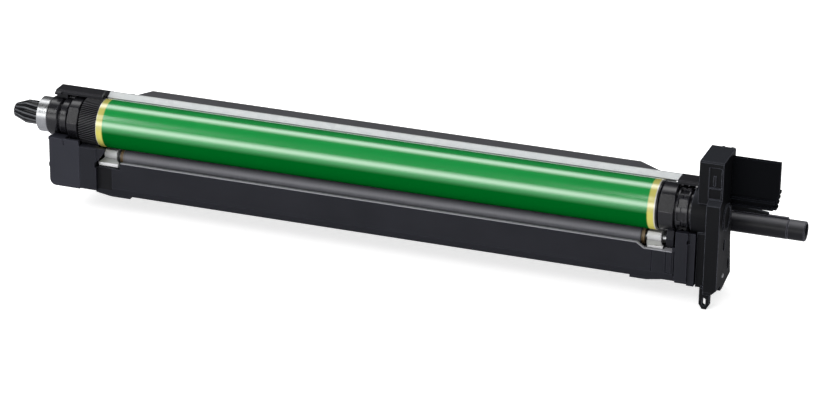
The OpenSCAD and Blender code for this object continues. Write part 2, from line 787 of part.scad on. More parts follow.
// White bearing block: holds the roller's shaft and the cleaning roller's shaft
module roller_block(from, side) {
    color([0.87, 0.88, 0.89])
        difference() {
            union() {
                along_x(from, from + block_w)
                    polygon([[-4.6, block_low], [-5, block_low + 0.6], [-5, roller_z + 3.4],
                        [-3.6, roller_z + 4.8], [4.6, roller_z + 4.8], [6.6, roller_z + 3],
                        [6.6, block_low], [5.6, block_foot_z], [-1, block_foot_z], [-2.2, block_low]]);
                // foot that reaches forward over the front wall's notch
                translate([from, 0, foot_low])
                    linear_extrude(2.1)
                        polygon(side < 0 ? [[0, -4.6], [0, foot_front], [block_w + 4.4, foot_front],
                                [block_w + 4.4, foot_front + 2], [block_w, -6]]
                            : [[0, -6], [2.6, foot_front], [block_w + 3.4, foot_front], [block_w, -4.6]]);
                if (side > 0)
                    for (x = [block_w - 1.6, block_w + 2.6])
                        translate([from + x, foot_front + 0.8, foot_low - 0.3]) cylinder(h = 2.8, r = 1);
            }
            translate([0, roller_y, roller_z]) rod_x(from - 4, from + block_w + 4, roller_shaft_d / 2 + fit);
            translate([0, foam_y, foam_z]) rod_x(from - 4, from + block_w + 4, foam_shaft_d / 2 + fit);
        }
}

foot_front = -front_y + frame_wall + 0.4;
foot_low = -23.1;

module roller_block_left() {
    roller_block(x_block, -1);
}

module roller_block_right() {
    roller_block(x_rblock, 1);
}

module charge_roller_shaft() {
    color(steel)
        translate([0, roller_y, roller_z])
            chamfered_disc(x_roller - left_stub, x_roller_end + roller_stub, roller_shaft_d / 2, 0.4);
}

module charge_roller_sleeve() {
    color([0.25, 0.25, 0.28])
        translate([0, roller_y, roller_z])
            difference() {
                chamfered_disc(x_roller, x_roller_end, roller_r, 0.4);
                rod_x(x_roller - 1, x_roller_end + 1, roller_shaft_d / 2 + seat_gap);
            }
}

// Rings on the shaft between the sleeve and the bearing blocks
module roller_spacers() {
    color([0.6, 0.45, 0.3])
        translate([0, roller_y, roller_z])
            for (x = [x_roller - 2.2, x_roller_end + 0.2])
                ring_x(x, x + 2, roller_r - 0.9, roller_shaft_d / 2 + seat_gap);
}

module cleaner_roller_shaft() {
    color(steel)
        translate([0, foam_y, foam_z])
            chamfered_disc(x_roller - left_stub + 0.4, x_roller_end + left_stub - 0.4, foam_shaft_d / 2, 0.3);
}

module cleaner_roller_foam() {
    color([0.8, 0.8, 0.82])
        translate([0, foam_y, foam_z])
            ring_x(x_roller + 2, x_roller_end - 2, foam_d / 2, foam_shaft_d / 2 + seat_gap);
}

// Compression spring: a round wire swept along a helix, five sides to the wire
module coil_spring(x, y, low, high) {
    turns = 3.5;
    rings = 28;
    sides = 5;
    r = (spring_d - spring_wire) / 2;
    rise = high - low - spring_wire;
    points = [for (k = [0 : rings], s = [0 : sides - 1])
        let (a = k * 360 * turns / rings, b = s * 360 / sides, q = r + spring_wire / 2 * cos(b))
        [q * cos(a), q * sin(a), low + spring_wire / 2 + rise * k / rings + spring_wire / 2 * sin(b)]];
    walls = [for (k = [0 : rings - 1], s = [0 : sides - 1])
        let (t = (s + 1) % sides)
        [k * sides + s, k * sides + t, (k + 1) * sides + t, (k + 1) * sides + s]];
    caps = [[for (s = [sides - 1 : -1 : 0]) s], [for (s = [0 : sides - 1]) rings * sides + s]];
    color(steel)
        translate([x, y, 0])
            polyhedron(points, concat(walls, caps));
}

module roller_spring_left() {
    coil_spring(x_block + block_w / 2, foam_y, floor_z + 0.1, block_foot_z - 0.1);
}

module roller_spring_right() {
    coil_spring(x_rblock + block_w / 2, foam_y, floor_z + 0.1, block_foot_z - 0.1);
}

// Section of the waste housing: an open C with the auger's round trough below
module housing_outline(inset) {
    y0 = housing_front + inset;
    y1 = housing_rear - inset;
    top = housing_top - inset;
    r = trough_r + housing_wall - inset;
    polygon(concat([[y0 + 0.6, top], [y1 - 6, top], [y1, top - 7], [y1, auger_z]],
        [for (a = [-15 : -15 : -165]) [auger_y + r * cos(a), auger_z + r * sin(a)]],
        [[auger_y - r, auger_z], [y0 + 3, -8], [y0 + 1, 2]]));
}

module waste_housing() {
    color(soft_black)
        difference() {
            along_x(x_housing, x_housing_end) housing_outline(0);
            difference() {
                along_x(x_housing + 2, x_housing_end - 2) housing_outline(housing_wall);
                // the wall above the seal lip stays
                along_x(x_housing, x_housing_end)
                    polygon([[housing_front, -lip_drop], [housing_front + 4, -lip_drop],
                        [housing_front + 2.6, 3 - lip_drop], [housing_front, 3 - lip_drop]]);
            }
            // mouth towards the drum
            translate([x_housing + 5, housing_front - 2, 3 - lip_drop])
                cube([x_housing_end - x_housing - 10, 5.4, 13.4]);
            for (x = sheet_screw_x)
                translate([x, sheet_screw_y, housing_top - 3]) cylinder(h = 4, r = 1.25 + seat_gap);
            translate([0, auger_y, auger_z]) {
                rod_x(x_housing - 1, x_housing + 3, 2.5 + fit);
                rod_x(x_housing_end - 3, x_housing_end + 1, tube_r - tube_wall);
            }
        }
}

// Galvanised sheet: a flange on the housing, an upright and a lip that slants down to the drum
module blade_holder() {
    c = cos(blade_angle);
    s = sin(blade_angle);
    flange = sheet_foot;
    lip_z = blade_front_z - sheet_t * c + (cover_y - blade_front_y - sheet_t * s) * s / c;
    color([0.86, 0.87, 0.88])
        difference() {
            along_x(x_sheet, x_sheet_end)
                polygon([[blade_front_y, blade_front_z], [cover_y, cover_z],
                    [cover_y + sheet_t, cover_z], [cover_y + sheet_t, flange + sheet_t],
                    [sheet_rear, flange + sheet_t], [sheet_rear, flange], [cover_y, flange], [cover_y, lip_z],
                    [blade_front_y + sheet_t * s, blade_front_z - sheet_t * c]]);
            for (x = sheet_screw_x)
                translate([x, sheet_screw_y, flange - 1]) cylinder(h = 4, r = 1.6);
        }
}

sheet_screw_x = [x_housing + 9, x_housing_end - 9];
sheet_screw_y = 18.4;

// Urethane blade bonded under the sheet's lip
module cleaning_blade() {
    c = cos(blade_angle);
    s = sin(blade_angle);
    t = 1.5;
    n = sheet_t + seat_gap;
    reach = 2.6;
    y0 = blade_front_y + n * s + 0.4 * c;
    z0 = blade_front_z - n * c + 0.4 * s;
    color([0.75, 0.6, 0.4])
        along_x(x_drum + 5, x_drum_end - 5)
            polygon([[y0, z0], [y0 + reach * c, z0 + reach * s],
                [y0 + reach * c + t * s, z0 + reach * s - t * c], [y0 + t * s, z0 - t * c]]);
}

// Film that closes the gap between the housing's lower lip and the drum
module recovery_seal() {
    color([0.15, 0.15, 0.16])
        along_x(x_housing + 5, x_housing_end - 5)
            polygon([[housing_front + 0.4, -lip_drop - seat_gap], [housing_front - 0.4, 1.6 - lip_drop],
                [housing_front - 0.1, 1.7 - lip_drop], [housing_front + 1.2, -lip_drop - seat_gap]]);
}

// Cover plate over the sheet's flange, with slanted ends and short legs
module housing_cover() {
    foot = housing_top + sheet_t + 2 * seat_gap;
    plate = cover_z - 0.2 - cover_plate_t;
    plate_front = cover_y + sheet_t + 0.05;
    plate_rear = sheet_rear + 2.6;
    x_plate = x_drum + 15.2;
    x_plate_end = x_drum_end - 5;
    color(black)
        union() {
            translate([0, 0, plate])
                linear_extrude(cover_plate_t)
                    polygon([[x_plate, plate_front], [x_plate + 6.2, plate_rear],
                        [x_plate_end - 15, plate_rear], [x_plate_end, plate_front]]);
            for (k = [0 : 6])
                translate([x_drum + 28 + k * (drum_len - 62) / 6, 16, foot])
                    cube([3, 5.6, plate - foot + 0.2]);
        }
}

// Conveying screw: one lobe on a slim core, twisted along the trough and the tube
module auger_screw() {
    core = 1.9;
    r = auger_d / 2;
    start = x_housing + 4;
    stop = x_tube_end - 6;
    turns = (stop - start) / auger_pitch;
    color([0.85, 0.85, 0.87])
        translate([0, auger_y, auger_z]) {
            translate([start, 0, 0])
                rotate([90, 0, 90])
                    linear_extrude(stop - start, twist = -360 * turns, slices = round(turns * 8), $fn = 9)
                        polygon(concat([[r * cos(-16), r * sin(-16)], [r, 0], [r * cos(16), r * sin(16)]],
                            [for (a = [50 : 52 : 310]) [core * cos(a), core * sin(a)]]));
            rod_x(x_gear + 1.4, start + 1, 2.5);
        }
}

module auger_gear() {
    color([0.8, 0.8, 0.78])
        translate([0, auger_y, auger_z])
            difference() {
                helical_gear(x_gear + 1.5, small_gear_w, auger_teeth,
                    gear_twist * gear_teeth / auger_teeth * small_gear_w / gear_w, 1, auger_start);
                rod_x(x_gear, x_drum, 2.5 + seat_gap);
            }
}

module idler_gear() {
    color([0.8, 0.8, 0.78])
        translate([0, idler_y, idler_z])
            difference() {
                helical_gear(x_gear + 1.5, small_gear_w, idler_teeth,
                    gear_twist * gear_teeth / idler_teeth * small_gear_w / gear_w, -1, idler_start);
                rod_x(x_gear, x_drum, 2 + fit);
            }
}

// Phases that put a tooth of one gear in the gap of the next, at the station where both begin
gear_offset = -gear_twist * 1.5 / gear_w;
drum_phase = 90 + gear_offset;
idler_start = 180 + idler_dir + 180 / idler_teeth
    + (idler_dir - drum_phase) * gear_teeth / idler_teeth;
auger_start = 180 + mesh_dir + 180 / auger_teeth
    + (mesh_dir - idler_start) * idler_teeth / auger_teeth;

module idler_pin() {
    color(steel)
        translate([0, idler_y, idler_z])
            chamfered_disc(x_gear - 0.2, x_gear + gear_w, 2, 0.3);
}

// Outlet tube: runs from the housing, behind the end cover, and ends in an open spigot
module waste_outlet_tube() {
    spigot = 10;
    bore = tube_r - tube_wall;
    x_spigot = x_tube_end - spigot;
    color(black)
        difference() {
            translate([0, auger_y, auger_z]) {
                rod_x(x_housing_end + seat_gap, x_spigot, tube_r);
                translate([x_spigot - 0.01, 0, 0])
                    rotate([0, 90, 0])
                        rotate_extrude($fn = 96)
                            polygon([[0, 0], [tube_r - 0.1, 0], [tube_r - 0.1, spigot - 0.5],
                                [tube_r - 0.6, spigot + 0.01], [0, spigot + 0.01]]);
                translate([x_side - 2, -0.8, tube_r - 0.4]) cube([x_spigot - x_side + 1.2, 1.6, 1.6]);
            }
            translate([0, auger_y, auger_z]) {
                rod_x(x_housing_end - 1, x_tube_end + 1, bore);
                // groove for the bottle's seal, behind the spigot
                ring_x(x_spigot - 0.8, x_spigot, tube_r + 1, tube_r - 0.5);
            }
        }
}

// Right end cover: lower plate, raised upper part, boss and two lugs
module end_cover() {
    color(black)
        difference() {
            union() {
                cover_lower(0);
                cover_upper(0);
                rod_x(x_boss, x_cover + 1, drum_r - 0.5);
                along_x(x_boss + 4.4, x_cover + 1)
                    polygon([[-12, -9.8], [-12, -cover_bottom + 2], [cover_rear, -cover_bottom + 4],
                        [cover_rear, 10], [4, 10]]);
                cover_lugs();
                translate([0, hub_y, hub_z]) rod_x(x_side - 1, x_side + hub_out, hub_r);
                for (x = [x_side - 8.2, x_side - 2.6])
                    translate([x, cover_rear - 3, cover_top - 1]) cube([1.8, 2.4, 1.6]);
            }
            cover_lower(cover_wall);
            cover_upper(cover_wall);
            rod_x(x_cover - 1, x_side - cover_wall, drum_r - 2.6);
            translate([0, hub_y, hub_z]) rod_x(x_side + 0.3, x_side + hub_out + 1, hub_r - 1.5);
            // room for the grip's foot beside the hub
            translate([x_side, grip_y - 1.8, 1]) cube([hub_out + 1, hub_r, hub_r]);
            // slanted lower corner of the outer face
            translate([x_side - 3.7, -cover_front - 1, -cover_bottom])
                rotate([0, -45, 0]) translate([0, 0, -9]) cube([12, 11, 9]);
            rod_x(x_boss - 1, x_cover + 3, shaft_d / 2 + seat_gap);
            front_panel_recess();
            for (hole = [[-4.2, -18.1], [7.3, -33.9]])
                translate([x_side - cover_wall - 1, hole[0], hole[1]])
                    rotate([90, 0, 90])
                        linear_extrude(cover_wall + 2)
                            slot_shape(4.5, 7.5);
            translate([0, -5.2, -36.8]) rod_x(x_side - cover_wall - 1, x_side + 1, 1.5 + seat_gap);
        }
}

// An upright slot with round ends, as a union of two circles and a square
module slot_shape(w, h) {
    for (s = [-1, 1]) translate([0, s * (h - w) / 2]) circle(w / 2);
    square([w, h - w], center = true);
}

// Lower plate of the end cover, or its hollow when inset by the wall
module cover_lower(inset) {
    b = -cover_bottom + inset;
    f = -cover_front + inset;
    along_x(inset > 0 ? x_cover - 1 : x_cover, x_side - inset)
        polygon([[f + 1, b], [f, b + 2], [f, shoulder_z - 1 - inset], [f + 3, shoulder_z + 1 - inset],
            [cover_rear - 3 - inset, shoulder_z + 2], [cover_rear - 3 - inset, -19],
            [cover_rear + 1 - inset, b + 3.2], [-4, b]]);
}

// Upper part of the end cover, wider towards the drum
module cover_upper(inset) {
    f = -upper_front + inset;
    along_x(x_side - cover_top_w + (inset > 0 ? inset - 0.2 : 0), x_side - inset)
        polygon([[f, shoulder_z - 2], [f, cover_top - inset - 0.8], [f + 0.8, cover_top - inset],
            [cover_rear - inset, cover_top - inset], [cover_rear - inset, shoulder_z - 2]]);
}

// Recessed panel on the upper front, with a small rib left standing in it
module front_panel_recess() {
    translate([x_cover - 0.4, -upper_front - 0.01, shoulder_z + 1.6])
        difference() {
            cube([cover_t - 0.8, 0.9, cover_top - shoulder_z - 5]);
            translate([2.6, -0.1, 8.4]) cube([1.4, 1.2, 6]);
            translate([-0.1, -0.1, 6.4]) cube([cover_t, 1.2, 0.7]);
        }
}

// Lugs under the end cover: a slotted one in front, a plain one behind
module cover_lugs() {
    b = -cover_bottom - lug_h;
    translate([x_cover - 1.2, -cover_front + 3.4, 0])
        rotate([90, 0, 0])
            translate([0, 0, -3])
                linear_extrude(3)
                    difference() {
                        polygon([[-1.6, b + lug_h + 3], [-1.6, b + 3], [0.4, b], [3, b], [4.8, b + 3],
                            [4.8, b + lug_h + 3]]);
                        translate([1.5, b + 4.6]) slot_shape(2, 5);
                    }
    along_x(x_cover - 5, x_cover + 2)
        polygon([[16, b], [24, b], [26, b + 2], [26, b + 14], [cover_rear, b + 20],
            [cover_rear, b + 12], [15, b + 2]]);
}

// Grip: a plate beside the end cover, with a ridge, a set-back foot and teeth at its free corner
module grip() {
    y0 = grip_y;
    z1 = cover_top - 2.8;
    z0 = z1 - grip_h;
    x1 = x_side + grip_w;
    color([0.09, 0.09, 0.11])
        union() {
            translate([x_side + seat_gap, y0 + grip_t, 0])
                rotate([90, 0, 0])
                    linear_extrude(grip_t)
                        polygon([[0, z0 + 7], [0, z1], [grip_w, z1], [grip_w, z0 + 14], [grip_w - 1.4, z0 + 7]]);
            translate([x_side + seat_gap, y0 - 1.4, z0 + 6.4]) cube([grip_w - 2.4, grip_t + 1.4, 1.6]);
            translate([x_side + seat_gap, y0 + grip_t - 1, z0 + 1.4]) cube([grip_w - 3.4, 2, 6]);
            translate([x_side + seat_gap, y0 + 0.4, z0 + 1.4]) cube([grip_w - 3.4, 3, 1.4]);
            for (k = [0 : 3])
                translate([x1 - 2.6 - 0.5 * (3 - k), y0, z0 + 2.4 + k * 3.2])
                    cube([2.8, grip_t + 3, 1.5]);
            translate([x1 - 4.4, y0 + grip_t - 0.2, z0 + 1.4]) cube([2.4, 3.2, 12]);
        }
}

module contact_pin() {
    color(steel)
        translate([0, -5.2, -36.8])
            chamfered_disc(x_side - cover_wall - 3, x_side + 0.6, 1.5, 0.3);
}

// Pan-head screws that hold the two holder caps
module cap_screws() {
    color([0.25, 0.25, 0.27])
        for (x = concat(cap_screw_x[0], cap_screw_x[1]))
            translate([x, cap_screw_y, 0]) {
                translate([0, 0, seat_top + 2 + seat_gap]) cylinder(h = 1.5, r = 2.3);
                translate([0, 0, cap_screw_low]) cylinder(h = seat_top + 3 - cap_screw_low, r = cap_screw_r);
            }
}

// Pan-head screws at both ends of the blade holder
module sheet_screws() {
    color(steel)
        for (x = sheet_screw_x)
            translate([x, sheet_screw_y, 0]) {
                translate([0, 0, housing_top + sheet_t + 2 * seat_gap]) cylinder(h = 1.3, r = 2.4);
                translate([0, 0, housing_top - 1.4]) cylinder(h = 3, r = 1.25);
            }
}

// Sprung plate in the support end of the drum that touches the tube and the pin
module earth_plate() {
    color([0.8, 0.6, 0.35])
        ring_x(x_drum_end - plug_len - 0.4, x_drum_end - plug_len - 0.02, bore_r - 0.05, shaft_d / 2 + 0.3);
}

drum_tube();
drive_flange();
support_flange();
drive_shaft();
spline_coupling();
bearing_outer_ring();
bearing_inner_ring();
bearing_balls();
bearing_cage();
bearing_shields();
left_collar();
right_collar();
support_shaft();
left_holder_cap();
right_holder_cap();
main_frame();
left_end_cover();
roller_block_left();
roller_block_right();
charge_roller_shaft();
charge_roller_sleeve();
roller_spacers();
cleaner_roller_shaft();
cleaner_roller_foam();
roller_spring_left();
roller_spring_right();
waste_housing();
blade_holder();
cleaning_blade();
recovery_seal();
housing_cover();
auger_screw();
auger_gear();
idler_gear();
idler_pin();
waste_outlet_tube();
end_cover();
grip();
contact_pin();
cap_screws();
sheet_screws();
earth_plate();
wall_strip();
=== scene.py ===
import math

import bpy
from mathutils import Matrix, Vector


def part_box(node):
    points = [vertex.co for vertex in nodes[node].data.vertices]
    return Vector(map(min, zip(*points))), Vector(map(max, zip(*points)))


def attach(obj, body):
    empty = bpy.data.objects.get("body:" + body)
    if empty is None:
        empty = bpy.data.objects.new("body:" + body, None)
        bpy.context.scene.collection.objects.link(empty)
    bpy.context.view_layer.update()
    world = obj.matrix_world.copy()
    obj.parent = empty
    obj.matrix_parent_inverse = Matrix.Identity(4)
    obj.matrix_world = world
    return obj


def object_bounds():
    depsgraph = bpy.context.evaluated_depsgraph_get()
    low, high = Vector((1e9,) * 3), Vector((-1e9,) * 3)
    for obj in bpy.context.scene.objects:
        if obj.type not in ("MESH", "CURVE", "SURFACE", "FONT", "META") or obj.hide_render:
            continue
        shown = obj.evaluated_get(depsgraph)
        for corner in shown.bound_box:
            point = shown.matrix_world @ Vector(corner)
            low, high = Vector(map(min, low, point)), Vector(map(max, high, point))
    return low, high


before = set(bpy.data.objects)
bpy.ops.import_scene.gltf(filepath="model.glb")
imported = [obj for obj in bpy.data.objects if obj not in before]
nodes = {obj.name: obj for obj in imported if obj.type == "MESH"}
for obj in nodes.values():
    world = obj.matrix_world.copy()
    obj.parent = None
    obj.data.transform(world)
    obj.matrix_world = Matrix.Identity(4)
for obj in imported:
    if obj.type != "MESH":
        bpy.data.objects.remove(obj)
cadLow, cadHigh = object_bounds()
print("frame loaded:", len(nodes), "nodes")


# Camera: seen from the front right, a little above
photoView = {
    "eye": (0.8589, -1.7457, 0.7521),  # metres from the drive bearing
    "turn": 19.48,                     # degrees to the left of straight ahead
    "down": 22.7,
    "roll": 0.82,
    "focal": 3335.0,                   # in pixels of the picture
    "pictureWidth": 827,
    "sensor": 36.0,
    "nearest": 0.05,                   # what the camera sees lies between these distances
    "farthest": 20.0,
}


def makeCamera():
    turn = math.radians(photoView["turn"])
    down = math.radians(photoView["down"])
    roll = math.radians(photoView["roll"])
    back = Vector((math.sin(turn) * math.cos(down), -math.cos(turn) * math.cos(down), math.sin(down)))
    level = Vector((math.cos(turn), math.sin(turn), 0.0))
    upright = back.cross(level)
    right = math.cos(roll) * level + math.sin(roll) * upright
    up = -math.sin(roll) * level + math.cos(roll) * upright
    eye = photoView["eye"]
    data = bpy.data.cameras.new("viewCamera")
    data.sensor_width = photoView["sensor"]
    data.lens = photoView["focal"] / photoView["pictureWidth"] * photoView["sensor"]
    data.clip_start = photoView["nearest"]
    data.clip_end = photoView["farthest"]
    camera = bpy.data.objects.new("viewCamera", data)
    bpy.context.scene.collection.objects.link(camera)
    camera.matrix_world = Matrix((
        (right.x, up.x, back.x, eye[0]),
        (right.y, up.y, back.y, eye[1]),
        (right.z, up.z, back.z, eye[2]),
        (0, 0, 0, 1)))
    bpy.context.scene.camera = camera
    print("camera made")


# Node helpers: each input takes another node's output, a plain value, or a colour's three parts
def feed(tree, node, sources):
    for port, source in sources.items():
        socket = node.inputs[port]
        if isinstance(source, bpy.types.NodeSocket):
            tree.links.new(source, socket)
        else:
            socket.default_value = (*source, 1) if socket.type == "RGBA" else source


def addNode(tree, kind, sources=None, **settings):
    node = tree.nodes.new(kind)
    for key, value in settings.items():
        setattr(node, key, value)
    feed(tree, node, sources or {})
    return node


def newMaterial(name, sources=None):
    material = bpy.data.materials.new(name)
    material.use_nodes = True
    tree = material.node_tree
    shader = tree.nodes["Principled BSDF"]
    feed(tree, shader, sources or {})
    return material, tree, shader


def newGroup(name, inputs, outputs):
    group = bpy.data.node_groups.new(name, "ShaderNodeTree")
    for port, kind, value in inputs:
        socket = group.interface.new_socket(name=port, in_out="INPUT", socket_type=kind)
        socket.default_value = (*value, 1) if kind == "NodeSocketColor" else value
    for port, kind in outputs:
        group.interface.new_socket(name=port, in_out="OUTPUT", socket_type=kind)
    return group, group.nodes.new("NodeGroupInput").outputs, group.nodes.new("NodeGroupOutput")


def objectPlace(tree):
    return addNode(tree, "ShaderNodeTexCoord").outputs["Object"]


def surfaceNormal(tree):
    return addNode(tree, "ShaderNodeNewGeometry").outputs["Normal"]


def noise(tree, place, scale, detail):
    sources = {"Vector": place, "Scale": scale, "Detail": detail}
    return addNode(tree, "ShaderNodeTexNoise", sources).outputs["Fac"]


def part(tree, vector, axis):
    return addNode(tree, "ShaderNodeSeparateXYZ", {"Vector": vector}).outputs[axis]


def maths(tree, operation, *values):
    return addNode(tree, "ShaderNodeMath", dict(enumerate(values)), operation=operation).outputs["Value"]


def vectorMaths(tree, operation, *values):
    node = addNode(tree, "ShaderNodeVectorMath", dict(enumerate(values)), operation=operation)
    return node.outputs["Value" if operation in ("LENGTH", "DOT_PRODUCT") else "Vector"]


def mix(tree, kind, factor, below, above):
    sources = {"Factor": factor, "A": below, "B": above}
    return addNode(tree, "ShaderNodeMix", sources, data_type=kind).outputs["Result"]


def ramp(tree, source, span, reach=(0.0, 1.0), curve="LINEAR"):
    sources = {"Value": source, "From Min": span[0], "From Max": span[1],
               "To Min": reach[0], "To Max": reach[1]}
    return addNode(tree, "ShaderNodeMapRange", sources, interpolation_type=curve).outputs["Result"]


# the drum's axis runs along X
def acrossAxis(tree, place):
    return vectorMaths(tree, "MULTIPLY", place, (0, 1, 1))


def relief(tree, height, strength, depth, **others):
    sources = {"Strength": strength, "Distance": depth, "Height": height, **others}
    return addNode(tree, "ShaderNodeBump", sources).outputs["Normal"]


def baseColour(shader):
    return shader.inputs["Base Color"].links[0].from_socket


# Fine spark-eroded grain of moulded plastic: soft edges with a painted highlight along them,
# painted shade in creases, a painted sheen on what faces up, and slow changes of tone
grainLook = {
    "grainDetail": 2.0,
    "grainDepth": 0.00004,
    "patches": 38.0,            # scale of the slow changes of tone
    "patchDetail": 3.0,
    "patchSpan": (0.3, 0.7),    # from the smoothest patch to the roughest
    "sheenTilt": (0.45, 0.95),   # upward tilt where the painted sheen begins, and where it is full
    "edgeTurn": (0.995, 0.82),  # turn of the rounded normal where the painted edge highlight begins, and where it is full
    "creaseReach": 0.004,
    "creaseSpan": (0.1, 0.8),   # openness of the deepest crease, and where its shade ends
    "creaseShade": 0.25,
    "samples": 4,
}


def buildGrainAndPaintedLight():
    group, given, out = newGroup(
        "grainAndPaintedLight",
        [("Base", "NodeSocketColor", (0.05, 0.05, 0.06)),
         ("Light", "NodeSocketColor", (0.08, 0.08, 0.09)),
         ("TopSheen", "NodeSocketColor", (0.1, 0.1, 0.1)),
         ("TopSheenShare", "NodeSocketFloat", 0.3),
         ("EdgeHighlight", "NodeSocketColor", (0.1, 0.1, 0.1)),
         ("EdgeHighlightShare", "NodeSocketFloat", 0.4),
         ("Radius", "NodeSocketFloat", 0.0006),
         ("Grain", "NodeSocketFloat", 2600.0),
         ("Relief", "NodeSocketFloat", 0.12),
         ("Smooth", "NodeSocketFloat", 0.38),
         ("Rough", "NodeSocketFloat", 0.55)],
        [("Color", "NodeSocketColor"), ("Roughness", "NodeSocketFloat"), ("Normal", "NodeSocketVector")])
    place, facing = objectPlace(group), surfaceNormal(group)
    patches = noise(group, place, grainLook["patches"], grainLook["patchDetail"])
    colour = mix(group, "RGBA", patches, given["Base"], given["Light"])
    roughness = ramp(group, patches, grainLook["patchSpan"], (given["Smooth"], given["Rough"]))

    # painted sheen on what faces up
    upward = ramp(group, part(group, facing, "Z"), grainLook["sheenTilt"], (0.0, given["TopSheenShare"]), "SMOOTHSTEP")
    colour = mix(group, "RGBA", upward, colour, given["TopSheen"])

    # soft edges, with a painted highlight along them
    soft = addNode(group, "ShaderNodeBevel", {"Radius": given["Radius"]},
                   samples=grainLook["samples"]).outputs["Normal"]
    turn = vectorMaths(group, "DOT_PRODUCT", soft, facing)
    litEdge = ramp(group, turn, grainLook["edgeTurn"], (0.0, given["EdgeHighlightShare"]))
    colour = mix(group, "RGBA", litEdge, colour, given["EdgeHighlight"])
    grain = noise(group, place, given["Grain"], grainLook["grainDetail"])
    normal = relief(group, grain, given["Relief"], grainLook["grainDepth"], Normal=soft)

    # painted shade in creases
    crease = addNode(group, "ShaderNodeAmbientOcclusion", {"Distance": grainLook["creaseReach"]},
                     samples=grainLook["samples"]).outputs["AO"]
    openness = ramp(group, crease, grainLook["creaseSpan"], (grainLook["creaseShade"], 1.0))
    shaded = addNode(group, "ShaderNodeVectorMath", operation="SCALE")
    feed(group, shaded, {0: colour, "Scale": openness})
    feed(group, out, {"Color": shaded.outputs["Vector"], "Roughness": roughness, "Normal": normal})
    return group


# Turned or drawn streaks that run round or along a part
streakLook = {
    "detail": 4.0,
    "span": (0.3, 0.7),         # from the smoothest streak to the roughest
}


def buildStreaks():
    group, given, out = newGroup(
        "fineStreaks",
        [("Stretch", "NodeSocketVector", (1, 1, 1)),
         ("Scale", "NodeSocketFloat", 900.0),
         ("Dark", "NodeSocketColor", (0.5, 0.5, 0.5)),
         ("Bright", "NodeSocketColor", (0.7, 0.7, 0.7)),
         ("Smooth", "NodeSocketFloat", 0.2),
         ("Rough", "NodeSocketFloat", 0.4)],
        [("Color", "NodeSocketColor"), ("Roughness", "NodeSocketFloat"), ("Height", "NodeSocketFloat")])
    drawn = vectorMaths(group, "MULTIPLY", objectPlace(group), given["Stretch"])
    streaks = noise(group, drawn, given["Scale"], streakLook["detail"])
    feed(group, out, {
        "Color": mix(group, "RGBA", streaks, given["Dark"], given["Bright"]),
        "Roughness": ramp(group, streaks, streakLook["span"], (given["Smooth"], given["Rough"])),
        "Height": streaks})
    return group


grainAndPaintedLight = buildGrainAndPaintedLight()
fineStreaks = buildStreaks()
print("grain and streaks built")


def applyGrainAndPaintedLight(tree, shader, values):
    grain = addNode(tree, "ShaderNodeGroup", node_tree=grainAndPaintedLight)
    feed(tree, grain, values)
    feed(tree, shader, {"Base Color": grain.outputs["Color"], "Roughness": grain.outputs["Roughness"],
                        "Normal": grain.outputs["Normal"]})


def wearStreaks(tree, shader, look):
    streaks = addNode(tree, "ShaderNodeGroup", node_tree=fineStreaks)
    feed(tree, streaks, {"Stretch": look["stretch"], "Scale": look["scale"], "Dark": look["dark"],
                         "Bright": look["bright"], "Smooth": look["smooth"], "Rough": look["rough"]})
    feed(tree, shader, {"Base Color": streaks.outputs["Color"], "Roughness": streaks.outputs["Roughness"],
                        "Normal": relief(tree, streaks.outputs["Height"], look["relief"], look["depth"])})
